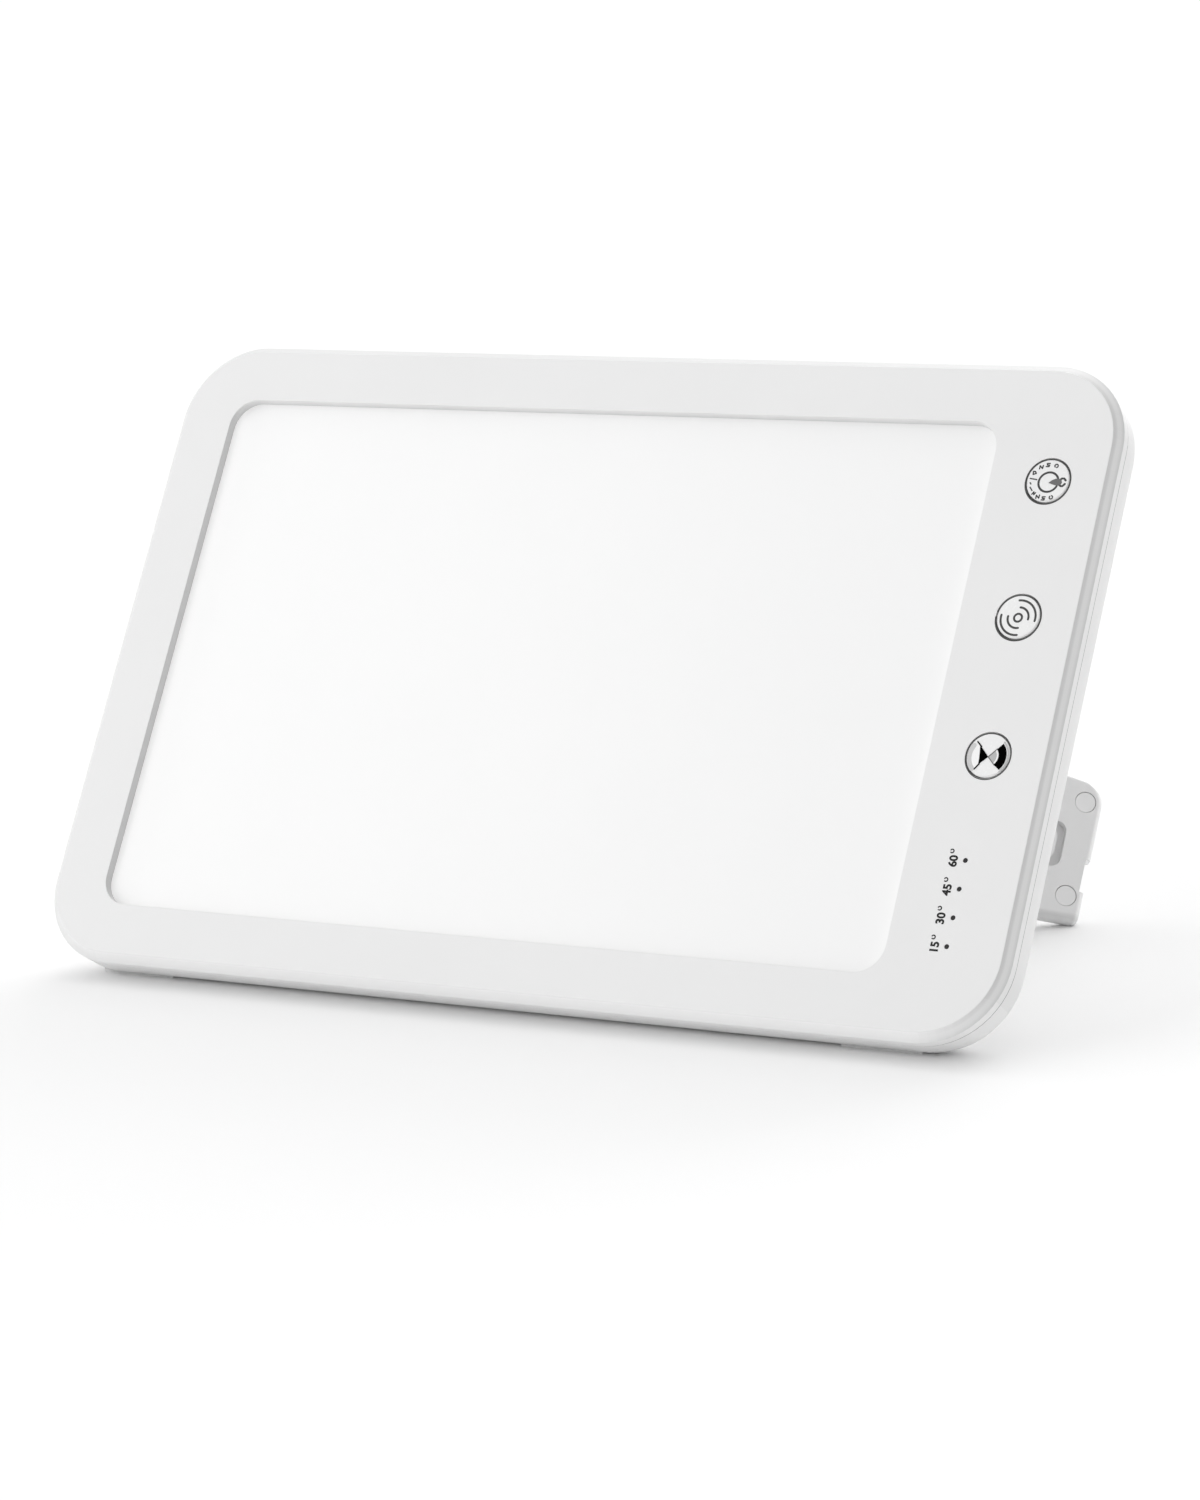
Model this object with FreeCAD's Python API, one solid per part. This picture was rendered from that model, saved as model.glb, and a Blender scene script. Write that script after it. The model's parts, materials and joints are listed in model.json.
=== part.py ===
import FreeCAD, Part
import math
from FreeCAD import Placement, Rotation, Vector

# Light therapy lamp, all sizes in millimetres.
# It is drawn standing upright: X across, Y from the front face backwards, Z up, with the
# origin in the middle of the light window on the front face. The last step leans it back.

# Clearances
FIT_GAP = 0.1
SCREW_GAP = 0.06
SCREW_CLEAR = 0.15
OVER = 1.0

# Casing
WINDOW_W = 210.0
WINDOW_H = 133.6
WINDOW_CORNER = 7.0
ROOM_LEFT = 2.3
ROOM_TOP = 1.9
ROOM_BOTTOM = 1.2
ROOM_RIGHT = 7.8
CORNER_R = 20.0
FRONT_BEVEL = 2.0
REAR_ROUND = 9.5
SEAM_DEPTH = 4.5
SEAM_CHAMFER = 0.2
SHELL_STEP = 0.15
FACE_PLATE = 2.5
WALL = 2.0
TONGUE_T = 0.9
TONGUE_LEN = 1.6
MOST_TILT = 60.0
TILT_STEP = 1e-6
MESH_STEP = 0.005

# Light stack, front to back
DIFFUSER_LAP = 3.0
DIFFUSER_T = 1.8
FILM_LAP = 2.5
FILM_T = 0.2
GUIDE_LAP = 0.5
GUIDE_GAP = 0.3
GUIDE_T = 3.0
REFLECTOR_T = 0.25
BACKING_T = 1.0
BACKING_INSET = 1.0
BEAD_END = 17.0
BEAD_W = 2.4
BEAD_H = 0.4
BEAD_INSET = 4.8
FRAME_LAP = 6.0
LED_GAP = 0.2
LED_L = 3.5
LED_W = 2.8
LED_T = 0.8
LED_COUNT = 24
LED_END = 6.4
STRIP_T = 1.0
STRIP_INSET = 2.0

# Buttons and indicators, down the right-hand strip
BUTTON_DROP = 14.1
BUTTON_PITCH = 33.35
BUTTON_R = 5.24
BUTTON_GAP = 0.36
BUTTON_PROUD = 0.15
BUTTON_EDGE = 0.3
BUTTON_SKIN = 1.2
BUTTON_TRAVEL = 0.4
FLANGE_LAP = 1.0
FLANGE_T = 0.8
STEM_R = 1.5
SWITCH_SIDE = 6.0
SWITCH_BODY_T = 3.5
SWITCH_HEIGHT = 4.3
PLUNGER_R = 1.7
PLUNGER_LEN = 1.6
PLUNGER_END_GAP = 0.05
LIGHT_RISE = 7.71
LIGHT_PITCH = 6.73
LIGHT_COUNT = 4
PIPE_R = 0.53
PIPE_TIP_LEN = 2.7
PIPE_GAP = 0.05
PIPE_SHAFT_R = 0.8
PIPE_RAIL_W = 2.4
PIPE_RAIL_T = 1.0
CHIP_LED_L = 1.6
CHIP_LED_W = 0.8
CHIP_LED_T = 0.8

# Control board
BOARD_T = 1.2
BOARD_W = 15.6
BOARD_SIDE_GAP = 0.8
BOARD_TOP_DROP = 3.8
BOARD_BOTTOM_RISE = 4.4
BOARD_CORNER = 1.5
BOARD_POST_R = 2.2
BOARD_POST_INSET = 2.5
BOARD_SCREW_TIP = 3.5
IC_SIDE = 6.0
IC_T = 1.1
TRANSISTOR_X = 1.9
TRANSISTOR_W = 1.6
TRANSISTOR_L = 3.0
TRANSISTOR_GAP = 1.0
PLUG_L = 7.5
PLUG_W = 4.5
PLUG_H = 3.2
PLUG_TOP_DROP = 8.0
PLUG_LOW_RISE = 1.0

# Fold-out leg and hinge
LEG_LEN = 167.4
LEG_T = 5.6
LEG_TIP_HALF = 17.85
LEG_TAPER = 4.2
LEG_DROP = 0.45
LEG_CORNER = 6.0
LEG_EDGE = 1.4
LEG_LOW_EDGE = 2.5
LEG_FLAT = 0.4
OPEN_ANGLE = 34.0
TIP_INSET = 6.8
PIN_R = 1.25
PIN_PRESS = 0.01
PIN_GAP = 0.05
HEEL_HALF = 18.0
HEEL_BACK = 2.8
HEEL_CLEAR = 0.4
STOP_GAP = 0.05
RECESS_GAP = 0.5
RECESS_WALL = 1.6
RECESS_FLOOR_T = 1.6
RECESS_CLEAR = 0.5
RECESS_HINGE_REACH = 3.2
LUG_T = 5.0
LUG_HALF = 6.0
WASHER_R = 2.6
NOTCH_DEPTH = 1.35
NOTCH_TOP_Z = -1.9
NOTCH_LEN = 8.4
MAGNET_R = 2.5
MAGNET_GAP = 0.12
MAGNET_T = 1.6
MAGNET_SINK = 0.2
MAGNET_INSET = 4.3
MAGNET_HALF_SPAN = 12.1
MAGNET_PROUD = 0.4
SPINE_W = 8.4
SPINE_T = 2.3
SPINE_POCKET = 2.6
SPINE_CORNER = 2.5
SPINE_START = 14.0
SPINE_INSET = 9.3
SPINE_GAP = 1.55
SPINE_END_GAP = 1.9
SPINE_SINK = 1.0
SPINE_HEAD_T = 0.9
SPINE_SCREW_FIRST = 7.0
SPINE_SCREW_LAST = 16.0
SPINE_SCREW_BITE = 1.4
SCOOP_R = 8.0
SCOOP_DEPTH = 4.0
SCOOP_WALL = 2.0

# Fasteners
CASE_POST_R = 2.6
CASE_POST_SINK = 0.5
CASE_SCREW_R = 1.2
CASE_HEAD_R = 2.2
CASE_HEAD_T = 1.6
CASE_PLUG_T = 1.8
CASE_MEET = 9.0
CASE_SHOULDER = 1.5
CASE_SCREW_TIP = 4.2
ROW_SCREW_INSET = 43.0
COLUMN_SCREW_INSET = 24.8
CORNER_SCREW_INSET = 6.8
CORNER_SCREW_ANGLE = 24.0
FRAME_SCREW_INSET = 21.0
FRAME_SCREW_EDGE = 1.9
FRAME_SCREW_BITE = 1.5
SMALL_SCREW_R = 0.9
SMALL_HEAD_R = 1.8
SMALL_HEAD_T = 1.1
SLOT_W = 0.6
SLOT_DEPTH = 0.5
HOLE_END = 0.1

# Feet
FOOT_L = 20.0
FOOT_W = 4.0
FOOT_SEAT = 1.6
FOOT_BACKING = 2.0
FOOT_PROUD = 0.25
FOOT_LEFT_INSET = 24.5
FOOT_RIGHT_INSET = 31.2

# Power inlet
INLET_SIDE_INSET = 18.2
INLET_RISE = 14.6
INLET_R = 4.0
INLET_SINK = 0.2
INLET_BORE_R = 2.85
INLET_BORE_DEPTH = 9.5
INLET_PIN_R = 1.0
INLET_PIN_SINK = 1.0
INLET_PIN_ROUND = 0.4
INLET_FLANGE_R = 4.65
INLET_FLANGE_T = 1.4
INLET_ROOM = 2.1

# Driver board
DRIVER_W = 78.0
DRIVER_H = 26.0
DRIVER_X = -8.0
DRIVER_DROP = 11.8
DRIVER_CLEAR = 1.65
DRIVER_TALL_GAP = 0.3
DRIVER_POST_R = 2.4
DRIVER_POST_INSET = 3.2
COIL_X = -14.0
COIL_SIDE = 9.0
COIL_CORNER = 1.6
COIL_RIM = 1.0
COIL_SLOT = 0.8
COIL_SLOT_DEPTH = 0.6
CAN_X = 2.0
CAN_L = 9.0
CAN_PITCH = 4.4
CHIP_X = (-28.0, 18.0, 26.0)
CHIP_SIDE = 4.4
CHIP_T = 1.4

# Wires from the inlet to the driver board
WIRE_R = 0.65
WIRE_PITCH = 1.6
WIRE_TAG_HALF = 1.5
WIRE_TAG_RISE = 2.0
WIRE_DIP = 1.0
WIRE_LOW_RISE = 5.4
WIRE_SIDE_GAP = 2.0
WIRE_SIDE_Y = 5.6
WIRE_BEND = 3.0
WIRE_LEAN = 1.0
WIRE_HIGH_DROP = 2.6
WIRE_END_INSET = 3.0
WIRE_LIFT = 0.05

# Vents in the back
VENT_W = 1.6
VENT_L = 22.0
VENT_PITCH = 5.0
VENT_COUNT = 9
VENT_RISE = 12.8
VENT_INSET = 35.0

# Worked out from the sizes above
HALF_W = WINDOW_W / 2
HALF_H = WINDOW_H / 2
BUTTON_X = HALF_W + FRAME_LAP + BOARD_SIDE_GAP + BOARD_W / 2
RIGHT_X = BUTTON_X + BOARD_W / 2 + ROOM_RIGHT
LEFT_X = -HALF_W - FRAME_LAP - ROOM_LEFT - 2 * CASE_POST_R - WALL
TOP_Z = HALF_H + FRAME_LAP + ROOM_TOP + 2 * CASE_POST_R + WALL
BOTTOM_Z = -HALF_H - FRAME_LAP - ROOM_BOTTOM - 2 * CASE_POST_R - WALL
PANEL_W = RIGHT_X - LEFT_X
PANEL_H = TOP_Z - BOTTOM_Z
PANEL_X = (RIGHT_X + LEFT_X) / 2
PANEL_Z = (TOP_Z + BOTTOM_Z) / 2
DIFFUSER_BACK = FACE_PLATE + DIFFUSER_T
FILM_BACK = DIFFUSER_BACK + FILM_T
GUIDE_BACK = FILM_BACK + GUIDE_T
REFLECTOR_BACK = GUIDE_BACK + REFLECTOR_T
BACKING_BACK = REFLECTOR_BACK + BACKING_T
GUIDE_W = WINDOW_W + 2 * GUIDE_LAP
GUIDE_H = WINDOW_H + 2 * GUIDE_LAP
STRIP_Z = GUIDE_H / 2 + LED_GAP + LED_T
STRIP_L = WINDOW_W - 2 * STRIP_INSET
LED_PITCH = (STRIP_L - 2 * LED_END) / (LED_COUNT - 1)
FLANGE_R = BUTTON_R + BUTTON_GAP + FLANGE_LAP
FLANGE_BACK = FACE_PLATE + FLANGE_T
BOARD_FRONT = FLANGE_BACK + SWITCH_HEIGHT
BOARD_BACK = BOARD_FRONT + BOARD_T
BODY_DEPTH = BOARD_BACK + RECESS_CLEAR + RECESS_FLOOR_T + RECESS_GAP + LEG_T
REAR_INNER = BODY_DEPTH - WALL
DRIVER_FRONT = BACKING_BACK + DRIVER_CLEAR
DRIVER_BACK = DRIVER_FRONT + BOARD_T
DRIVER_Z = HALF_H - DRIVER_DROP
COIL_H = REAR_INNER - DRIVER_BACK - DRIVER_TALL_GAP
CAN_R = COIL_H / 2
INLET_X = RIGHT_X - INLET_SIDE_INSET
INLET_Z = BOTTOM_Z + INLET_RISE
INLET_FRONT = FACE_PLATE + INLET_ROOM
INLET_BACK = BODY_DEPTH - INLET_SINK
CASE_SEAT = CASE_MEET + CASE_SHOULDER
CASE_HEAD_BACK = CASE_SEAT + CASE_HEAD_T
HINGE_Y = BODY_DEPTH - LEG_T / 2
LEG_FRONT = BODY_DEPTH - LEG_T
SPINE_BACK = LEG_FRONT + SPINE_POCKET
RECESS_FLOOR = LEG_FRONT - RECESS_GAP
RECESS_FRONT = RECESS_FLOOR - RECESS_FLOOR_T
TIP_X = RIGHT_X - TIP_INSET
HINGE_X = TIP_X - LEG_LEN
TAPER = math.tan(math.radians(LEG_TAPER))
BARREL_HALF = LEG_TIP_HALF + LEG_LEN * TAPER
SPINE_SEAT = SPINE_BACK - SPINE_T + SPINE_SINK
PIN_HALF = BARREL_HALF + RECESS_GAP + LUG_T
MAGNET_X = TIP_X - MAGNET_INSET
HEEL_DROP = HINGE_Y - RECESS_FLOOR - STOP_GAP
HEEL_ROOM = math.hypot(HEEL_BACK, HEEL_DROP) + HEEL_CLEAR
BUTTON_NAMES = ("power", "brightness", "timer")
BUTTON_Z = [HALF_H - BUTTON_DROP - i * BUTTON_PITCH for i in range(len(BUTTON_NAMES))]
LIGHT_Z = [LIGHT_RISE - HALF_H + i * LIGHT_PITCH for i in reversed(range(LIGHT_COUNT))]
PIVOT = Vector(HINGE_X, HINGE_Y, -LEG_DROP)
UPRIGHT = Vector(0, 0, 1)
OPEN = Rotation(UPRIGHT, OPEN_ANGLE)
SIDES = (-1, 1)
MITRED = 1

parts = {}


# ---------------------------------------------------------------- basic forms
def block(x0, x1, y0, y1, z0, z1):
    """Box between two corners."""
    corner = Vector(min(x0, x1), min(y0, y1), min(z0, z1))
    return Part.makeBox(abs(x1 - x0), abs(y1 - y0), abs(z1 - z0), corner)


def slab(x, z, width, height, front, back):
    """Box round a middle, between two depths."""
    return block(x - width / 2, x + width / 2, front, back, z - height / 2, z + height / 2)


def rod(radius, front, back, x, z):
    """Round bar that runs backwards."""
    start = Vector(x, min(front, back), z)
    return Part.makeCylinder(radius, abs(back - front), start, Vector(0, 1, 0))


def shaft(radius, half_length):
    """Round bar along the hinge line."""
    return Part.makeCylinder(radius, 2 * half_length, PIVOT - UPRIGHT * half_length)


def plate(width, height, radius, front, back, x=PANEL_X, z=PANEL_Z):
    """Upright plate with rounded corners, between two depths."""
    body = slab(x, z, width, height, front, back)
    corners = [e for e in body.Edges if abs(e.tangentAt(e.FirstParameter).y) > 0.99]
    return body.makeFillet(radius, corners)


def panel(inset, front, back):
    """Plate with the casing's outline, drawn in by an inset."""
    return plate(PANEL_W - 2 * inset, PANEL_H - 2 * inset, CORNER_R - inset, front, back)


def window_plate(lap, front, back):
    """Plate with the window's outline, let out by a lap."""
    return plate(WINDOW_W + 2 * lap, WINDOW_H + 2 * lap, WINDOW_CORNER + lap, front, back, 0, 0)


def edges_at(shape, depth):
    """Edges that lie at one depth."""
    return [e for e in shape.Edges if all(abs(v.Y - depth) < 1e-4 for v in e.Vertexes)]


def screw(x, z, seat, head_t, tip, head_r, shank_r):
    """Screw through a seat, its slotted head on one side and its tip on the other."""
    away = math.copysign(1, seat - tip)
    top = seat + away * head_t
    head = rod(head_r, seat, top, x, z)
    slot = block(x - head_r, x + head_r, top - away * SLOT_DEPTH, top + away * OVER,
                 z - SLOT_W / 2, z + SLOT_W / 2)
    return head.cut(slot).fuse(rod(shank_r, seat, tip, x, z))


def wire(points, radius):
    """Round insulated wire along a row of points, mitred at the bends."""
    ring = Part.Wire(Part.makeCircle(radius, points[0], points[1] - points[0]))
    return Part.Wire(Part.makePolygon(points)).makePipeShell([ring], True, False, MITRED)


# ---------------------------------------------------------------- places of the fasteners
def case_screw_places():
    """Places of the screws that close the casing."""
    edge = WALL + CASE_POST_R
    row_top = TOP_Z - edge - ROOM_TOP / 2
    row_bottom = BOTTOM_Z + edge + ROOM_BOTTOM / 2
    column = LEFT_X + edge + ROOM_LEFT / 2
    row_x = HALF_W - ROW_SCREW_INSET
    places = [(side * row_x, z) for side in SIDES for z in (row_top, row_bottom)]
    places += [(column, side * (HALF_H - COLUMN_SCREW_INSET)) for side in SIDES]
    angle = math.radians(CORNER_SCREW_ANGLE)
    reach = CORNER_R - CORNER_SCREW_INSET
    corner_x = RIGHT_X - CORNER_R + reach * math.cos(angle)
    inward = CORNER_R - reach * math.sin(angle)
    return places + [(corner_x, TOP_Z - inward), (corner_x, BOTTOM_Z + inward)]


def board_screw_places():
    """Places of the control board's screws, clear of the buttons and of the leg's recess."""
    left = BUTTON_X - BOARD_W / 2 + BOARD_POST_INSET
    right = BUTTON_X + BOARD_W / 2 - BOARD_POST_INSET
    below_button = BUTTON_Z[2] - FLANGE_R - 2 * BOARD_POST_R
    below_well = -LEG_DROP - leg_half(left) - RECESS_WALL - 2 * RECESS_GAP - BOARD_POST_R
    return [
        (left, HALF_H - BOARD_TOP_DROP - BOARD_POST_INSET),
        (right, (BUTTON_Z[0] + BUTTON_Z[1]) / 2),
        (left, min(below_button, below_well)),
        (right, (LIGHT_Z[1] + LIGHT_Z[2]) / 2),
    ]


def frame_screw_places():
    """Places of the screws through the light frame's long sides."""
    end = HALF_W - FRAME_SCREW_INSET
    z = HALF_H + FRAME_LAP - FRAME_SCREW_EDGE
    return [(x, side * z) for x in (-end, 0.0, end) for side in SIDES]


def driver_screw_places():
    """Corners of the driver board."""
    dx = DRIVER_W / 2 - DRIVER_POST_INSET
    dz = DRIVER_H / 2 - DRIVER_POST_INSET
    return [(DRIVER_X + i * dx, DRIVER_Z + j * dz) for i in SIDES for j in SIDES]


def spine_screw_x():
    """Places of the screws along the leg's strip."""
    first = HINGE_X + SPINE_START + SPINE_SCREW_FIRST
    last = TIP_X - SPINE_INSET - SPINE_SCREW_LAST
    return [first, (first + last) / 2, last]


# ---------------------------------------------------------------- the leg's outline
def leg_half(x):
    """Half the leg's width at a place along it, folded flat."""
    return LEG_TIP_HALF + (TIP_X - x) * TAPER


def leg_blank(grow, front, back):
    """The leg's tapered outline from the hinge line to its tip, let out by a gap."""
    side = grow / math.cos(math.radians(LEG_TAPER))
    tip = TIP_X + grow
    z0 = leg_half(HINGE_X) + side
    z1 = leg_half(tip) + side
    corners = [(HINGE_X, -z0), (tip, -z1), (tip, z1), (HINGE_X, z0), (HINGE_X, -z0)]
    outline = Part.makePolygon([Vector(x, front, z - LEG_DROP) for x, z in corners])
    solid = Part.Face(outline).extrude(Vector(0, back - front, 0))
    upper = [e for e in solid.Edges
             if all(v.X > HINGE_X + OVER and v.Z > 0 for v in e.Vertexes)]
    return solid.makeFillet(LEG_CORNER + grow, upper)


def leg_body():
    """The leg with its rims rounded, the lower long ones more than the others."""
    body = leg_blank(0.0, LEG_FRONT, BODY_DEPTH)
    for radius, low in ((LEG_LOW_EDGE, True), (LEG_EDGE, False)):
        rims = [e for e in edges_at(body, LEG_FRONT) + edges_at(body, BODY_DEPTH)
                if max(v.X for v in e.Vertexes) > HINGE_X + FIT_GAP
                and (max(v.Z for v in e.Vertexes) < 0) == low]
        body = body.makeFillet(radius, rims)
    return body


# ---------------------------------------------------------------- the desk and the feet
LEG_POINTS = leg_body().tessellate(MESH_STEP)[0]


def resting_plane(tilt):
    """The desk's downward normal and its distance from the origin, at one lean of the lamp."""
    angle = math.radians(tilt)
    down = Vector(0, math.sin(angle), -math.cos(angle))
    flat = OPEN.inverted().multVec(down)
    reach = max((point - PIVOT).dot(flat) for point in LEG_POINTS)
    return down, reach + PIVOT.dot(down) - LEG_FLAT


def foot_proud(tilt):
    """How far a foot stands out of the rounded back edge, at one lean of the lamp."""
    down, drop = resting_plane(tilt)
    centre = Vector(0, BODY_DEPTH - REAR_ROUND, BOTTOM_Z + SHELL_STEP + REAR_ROUND)
    return drop - centre.dot(down) - REAR_ROUND


def rest_tilt():
    """Lean at which the feet and the corner of the open leg stand on one desk."""
    low, high = 0.0, MOST_TILT
    while high - low > TILT_STEP:
        middle = (low + high) / 2
        if foot_proud(middle) < FOOT_PROUD:
            low = middle
        else:
            high = middle
    return (low + high) / 2


REST_TILT = rest_tilt()
DESK_DOWN, DESK_DROP = resting_plane(REST_TILT)
FOOT_DEPTH = FOOT_PROUD + FOOT_SEAT


def feet(grow, depth):
    """Blocks of the two feet, from the desk up into the rounded back edge."""
    along = Vector(1, 0, 0)
    across = DESK_DOWN.cross(along)
    blocks = []
    for x in (LEFT_X + FOOT_LEFT_INSET, RIGHT_X - FOOT_RIGHT_INSET):
        middle = Vector(x, BODY_DEPTH - REAR_ROUND, BOTTOM_Z + REAR_ROUND)
        sole = middle - DESK_DOWN * (middle.dot(DESK_DOWN) - DESK_DROP)
        half_l = along * (FOOT_L / 2 + grow)
        half_w = across * (FOOT_W / 2 + grow)
        corners = [sole - half_l - half_w, sole + half_l - half_w,
                   sole + half_l + half_w, sole - half_l + half_w]
        outline = Part.makePolygon(corners + corners[:1])
        blocks.append(Part.Face(outline).extrude(DESK_DOWN * -depth))
    return blocks


# ---------------------------------------------------------------- casing
def front_bezel():
    body = panel(0.0, 0.0, SEAM_DEPTH)
    body = body.makeChamfer(FRONT_BEVEL, edges_at(body, 0.0))
    body = body.makeChamfer(SEAM_CHAMFER, edges_at(body, SEAM_DEPTH))
    body = body.cut(panel(WALL, FACE_PLATE, SEAM_DEPTH + OVER))
    tongue = panel(WALL - TONGUE_T, FACE_PLATE, SEAM_DEPTH + TONGUE_LEN)
    body = body.fuse(tongue.cut(panel(WALL, FACE_PLATE - OVER, SEAM_DEPTH + TONGUE_LEN + OVER)))
    body = body.cut(window_plate(0.0, -OVER, FACE_PLATE + OVER))
    root = FACE_PLATE - CASE_POST_SINK
    posts = [rod(CASE_POST_R, root, CASE_MEET, x, z) for x, z in case_screw_places()]
    posts += [rod(BOARD_POST_R, root, BOARD_FRONT, x, z) for x, z in board_screw_places()]
    body = body.fuse(posts)
    holes = [rod(CASE_SCREW_R + SCREW_GAP, CASE_SCREW_TIP - HOLE_END, CASE_MEET + OVER, x, z)
             for x, z in case_screw_places()]
    holes += [rod(SMALL_SCREW_R + SCREW_GAP, BOARD_SCREW_TIP - HOLE_END, BOARD_FRONT + OVER, x, z)
              for x, z in board_screw_places()]
    frame_tip = FACE_PLATE - FRAME_SCREW_BITE - HOLE_END
    holes += [rod(SMALL_SCREW_R + SCREW_GAP, frame_tip, FACE_PLATE + OVER, x, z)
              for x, z in frame_screw_places()]
    holes += [rod(BUTTON_R + BUTTON_GAP, -OVER, FACE_PLATE + OVER, BUTTON_X, z) for z in BUTTON_Z]
    holes += [rod(PIPE_R + PIPE_GAP, -OVER, FACE_PLATE + OVER, BUTTON_X, z) for z in LIGHT_Z]
    return body.cut(holes).removeSplitter()


def recess(grow, lug, reach, front, back):
    """Space of the folded leg and its hinge, or the block round it."""
    hinge_half = BARREL_HALF + RECESS_GAP + lug
    behind = HEEL_ROOM + grow - RECESS_GAP
    hinge = block(HINGE_X - behind, HINGE_X + reach, front, back,
                  -LEG_DROP - hinge_half, -LEG_DROP + hinge_half)
    return leg_blank(grow, front, back).fuse(hinge)


def shell_insides():
    """Solid pieces inside the rear shell: the leg's well, posts and backings."""
    added = [recess(RECESS_GAP + RECESS_WALL, LUG_T, LUG_HALF, RECESS_FRONT, BODY_DEPTH)]
    scoop_half = SCOOP_R + SCOOP_WALL
    added.append(block(TIP_X, RIGHT_X, RECESS_FRONT, BODY_DEPTH, -scoop_half, scoop_half))
    added += [rod(CASE_POST_R, CASE_MEET, BODY_DEPTH, x, z) for x, z in case_screw_places()]
    added += [rod(DRIVER_POST_R, DRIVER_BACK, REAR_INNER + CASE_POST_SINK, x, z)
              for x, z in driver_screw_places()]
    return added + feet(FOOT_BACKING, FOOT_DEPTH + FOOT_BACKING)


def shell_cuts():
    """Openings of the rear shell."""
    cuts = [recess(RECESS_GAP, 0.0, RECESS_HINGE_REACH, RECESS_FLOOR, BODY_DEPTH + OVER)]
    cuts.append(shaft(PIN_R + PIN_PRESS, PIN_HALF + OVER))
    scoop_start = Vector(TIP_X, BODY_DEPTH + SCOOP_R - SCOOP_DEPTH, 0)
    cuts.append(Part.makeCylinder(SCOOP_R, RIGHT_X - TIP_X + OVER, scoop_start, Vector(1, 0, 0)))
    for x, z in case_screw_places():
        cuts.append(rod(CASE_SCREW_R + SCREW_GAP, CASE_MEET - OVER, BODY_DEPTH, x, z))
        cuts.append(rod(CASE_HEAD_R + FIT_GAP, CASE_SEAT, BODY_DEPTH + OVER, x, z))
    cuts += [rod(SMALL_SCREW_R + SCREW_GAP, DRIVER_BACK - OVER, REAR_INNER, x, z)
             for x, z in driver_screw_places()]
    magnet_front = RECESS_FLOOR + MAGNET_PROUD - MAGNET_T
    cuts += [rod(MAGNET_R + FIT_GAP, magnet_front, RECESS_FLOOR + OVER, MAGNET_X, side * MAGNET_HALF_SPAN)
             for side in SIDES]
    cuts += feet(FIT_GAP, FOOT_DEPTH)
    cuts.append(rod(INLET_R + FIT_GAP, REAR_INNER - OVER, BODY_DEPTH + OVER, INLET_X, INLET_Z))
    vent_z = VENT_RISE - HALF_H
    straight = VENT_L - VENT_W
    for side in SIDES:
        for i in range(VENT_COUNT):
            x = side * (HALF_W - VENT_INSET) + (i - (VENT_COUNT - 1) / 2) * VENT_PITCH
            cuts.append(slab(x, vent_z, VENT_W, straight, REAR_INNER - OVER, BODY_DEPTH + OVER))
            cuts += [rod(VENT_W / 2, REAR_INNER - OVER, BODY_DEPTH + OVER, x, vent_z + end * straight / 2)
                     for end in SIDES]
    return cuts


def rear_shell():
    outer = panel(SHELL_STEP, SEAM_DEPTH, BODY_DEPTH)
    outer = outer.makeFillet(REAR_ROUND, edges_at(outer, BODY_DEPTH))
    outer = outer.makeChamfer(SEAM_CHAMFER, edges_at(outer, SEAM_DEPTH))
    inner = panel(WALL, SEAM_DEPTH - OVER, REAR_INNER)
    inner = inner.makeFillet(REAR_ROUND - WALL, edges_at(inner, REAR_INNER))
    lip = WALL - TONGUE_T
    tongue_end = SEAM_DEPTH + TONGUE_LEN + FIT_GAP
    rebate = panel(lip - FIT_GAP, SEAM_DEPTH - OVER, tongue_end)
    body = outer.cut(inner).cut(rebate)
    within = outer.common(panel(lip + FIT_GAP, tongue_end + FIT_GAP, BODY_DEPTH))
    body = body.fuse([a.common(within) for a in shell_insides()])
    return body.cut(shell_cuts()).removeSplitter()


# ---------------------------------------------------------------- light stack
def light_frame():
    body = window_plate(FRAME_LAP, FACE_PLATE, REFLECTOR_BACK)
    body = body.cut(window_plate(DIFFUSER_LAP + FIT_GAP, FACE_PLATE - OVER, FILM_BACK))
    height = 2 * (STRIP_Z + STRIP_T + FIT_GAP)
    opening = slab(0, 0, GUIDE_W + 2 * GUIDE_GAP, height, FACE_PLATE - OVER, REFLECTOR_BACK + OVER)
    holes = [rod(SMALL_SCREW_R + SCREW_CLEAR, FACE_PLATE - OVER, REFLECTOR_BACK + OVER, x, z)
             for x, z in frame_screw_places()]
    return body.cut([opening] + holes)


def backing_plate():
    """Pressed plate with two stiffening beads, clear of the leg's well."""
    body = window_plate(FRAME_LAP - BACKING_INSET, REFLECTOR_BACK, BACKING_BACK)
    beads = [slab(0, side * (HALF_H - BEAD_INSET), WINDOW_W - 2 * BEAD_END, BEAD_W,
                  REFLECTOR_BACK, BACKING_BACK + BEAD_H) for side in SIDES]
    holes = [rod(SMALL_SCREW_R + SCREW_CLEAR, REFLECTOR_BACK - OVER, BACKING_BACK + OVER, x, z)
             for x, z in frame_screw_places()]
    return body.fuse(beads).cut(holes).removeSplitter()


def led_strips():
    return [block(-STRIP_L / 2, STRIP_L / 2, FILM_BACK, GUIDE_BACK,
                  side * STRIP_Z, side * (STRIP_Z + STRIP_T)) for side in SIDES]


def led_chips():
    front = (FILM_BACK + GUIDE_BACK - LED_W) / 2
    chips = []
    for side in SIDES:
        for i in range(LED_COUNT):
            x = (i - (LED_COUNT - 1) / 2) * LED_PITCH
            chips.append(block(x - LED_L / 2, x + LED_L / 2, front, front + LED_W,
                               side * (STRIP_Z - LED_T), side * STRIP_Z))
    return chips


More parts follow.
